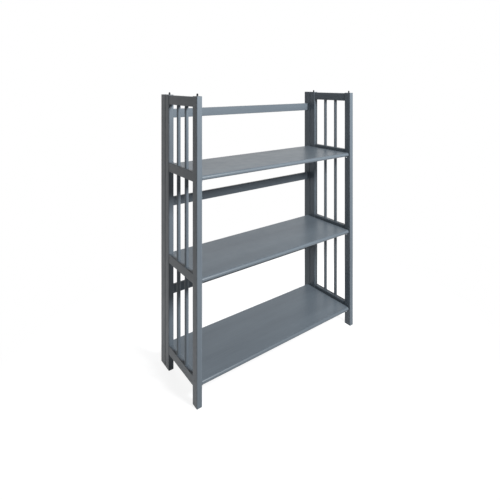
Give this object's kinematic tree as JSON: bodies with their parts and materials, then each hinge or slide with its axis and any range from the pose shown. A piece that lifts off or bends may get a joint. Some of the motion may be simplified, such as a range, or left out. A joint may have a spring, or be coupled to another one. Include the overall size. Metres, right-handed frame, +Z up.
{
  "type": "folding bookcase",
  "caption": "Folding bookcase: ladder sides hinged to a back frame, flip-up shelves on pivot pins, and stacking pins on the posts.",
  "frame": {"origin": "on the floor under the centre of the open bookcase's box", "axes": "+X to the right seen from the front, +Y from the front to the back, +Z up"},
  "size_m": [0.6984, 0.2922, 0.9737],
  "materials": {
    "painted_wood": "satin grey paint over solid wood, smooth, with a soft sheen",
    "dark_steel": "blackened steel stacking pins and hinges, satin",
    "zinc_plate": "zinc-plated steel shelf pins and pivot pins"
  },
  "bodies": {
    "back_frame": {"left_back_post": "painted_wood", "right_back_post": "painted_wood", "bottom_back_rail": "painted_wood", "middle_back_rail": "painted_wood", "top_back_rail": "painted_wood", "left_lower_hinge_fixed_leaf": "dark_steel", "left_upper_hinge_fixed_leaf": "dark_steel", "right_lower_hinge_fixed_leaf": "dark_steel", "right_upper_hinge_fixed_leaf": "dark_steel", "left_lower_hinge_pin": "dark_steel", "left_upper_hinge_pin": "dark_steel", "right_lower_hinge_pin": "dark_steel", "right_upper_hinge_pin": "dark_steel"},
    "left_side": {"left_front_post": "painted_wood", "left_rear_stile": "painted_wood", "left_lower_rail": "painted_wood", "left_middle_rail": "painted_wood", "left_upper_rail": "painted_wood", "left_top_rail": "painted_wood", "left_lower_spindle_1": "painted_wood", "left_lower_spindle_2": "painted_wood", "left_middle_spindle_1": "painted_wood", "left_middle_spindle_2": "painted_wood", "left_upper_spindle_1": "painted_wood", "left_upper_spindle_2": "painted_wood", "left_front_stacking_pin": "dark_steel", "left_rear_stacking_pin": "dark_steel", "left_bottom_shelf_pin": "zinc_plate", "left_middle_shelf_pin": "zinc_plate", "left_top_shelf_pin": "zinc_plate", "left_lower_hinge_moving_leaf": "dark_steel", "left_upper_hinge_moving_leaf": "dark_steel"},
    "right_side": {"right_front_post": "painted_wood", "right_rear_stile": "painted_wood", "right_lower_rail": "painted_wood", "right_middle_rail": "painted_wood", "right_upper_rail": "painted_wood", "right_top_rail": "painted_wood", "right_lower_spindle_1": "painted_wood", "right_lower_spindle_2": "painted_wood", "right_middle_spindle_1": "painted_wood", "right_middle_spindle_2": "painted_wood", "right_upper_spindle_1": "painted_wood", "right_upper_spindle_2": "painted_wood", "right_front_stacking_pin": "dark_steel", "right_rear_stacking_pin": "dark_steel", "right_bottom_shelf_pin": "zinc_plate", "right_middle_shelf_pin": "zinc_plate", "right_top_shelf_pin": "zinc_plate", "right_lower_hinge_moving_leaf": "dark_steel", "right_upper_hinge_moving_leaf": "dark_steel"},
    "top_shelf": {"top_shelf_board": "painted_wood", "top_shelf_left_pivot_pin": "zinc_plate", "top_shelf_right_pivot_pin": "zinc_plate"},
    "middle_shelf": {"middle_shelf_board": "painted_wood", "middle_shelf_left_pivot_pin": "zinc_plate", "middle_shelf_right_pivot_pin": "zinc_plate"},
    "bottom_shelf": {"bottom_shelf_board": "painted_wood", "bottom_shelf_left_pivot_pin": "zinc_plate", "bottom_shelf_right_pivot_pin": "zinc_plate"}
  },
  "joints": [
    {"name": "left_side_fold", "type": "hinge", "parent": "back_frame", "child": "left_side", "pos_m": [-0.32855, 0.10755, 0.513], "axis": [0, 0, 1], "range_deg": [0, 0.4]},
    {"name": "right_side_fold", "type": "hinge", "parent": "back_frame", "child": "right_side", "pos_m": [0.32855, 0.10755, 0.513], "axis": [0, 0, -1], "range_deg": [0, 0.4]},
    {"name": "top_shelf_flip", "type": "hinge", "parent": "back_frame", "child": "top_shelf", "pos_m": [0, 0.11555, 0.7085], "axis": [-1, 0, 0], "range_deg": [0, 90]},
    {"name": "middle_shelf_flip", "type": "hinge", "parent": "back_frame", "child": "middle_shelf", "pos_m": [0, 0.11555, 0.3885], "axis": [-1, 0, 0], "range_deg": [0, 90]},
    {"name": "bottom_shelf_flip", "type": "hinge", "parent": "back_frame", "child": "bottom_shelf", "pos_m": [0, 0.11555, 0.0685], "axis": [-1, 0, 0], "range_deg": [0, 90]}
  ]
}
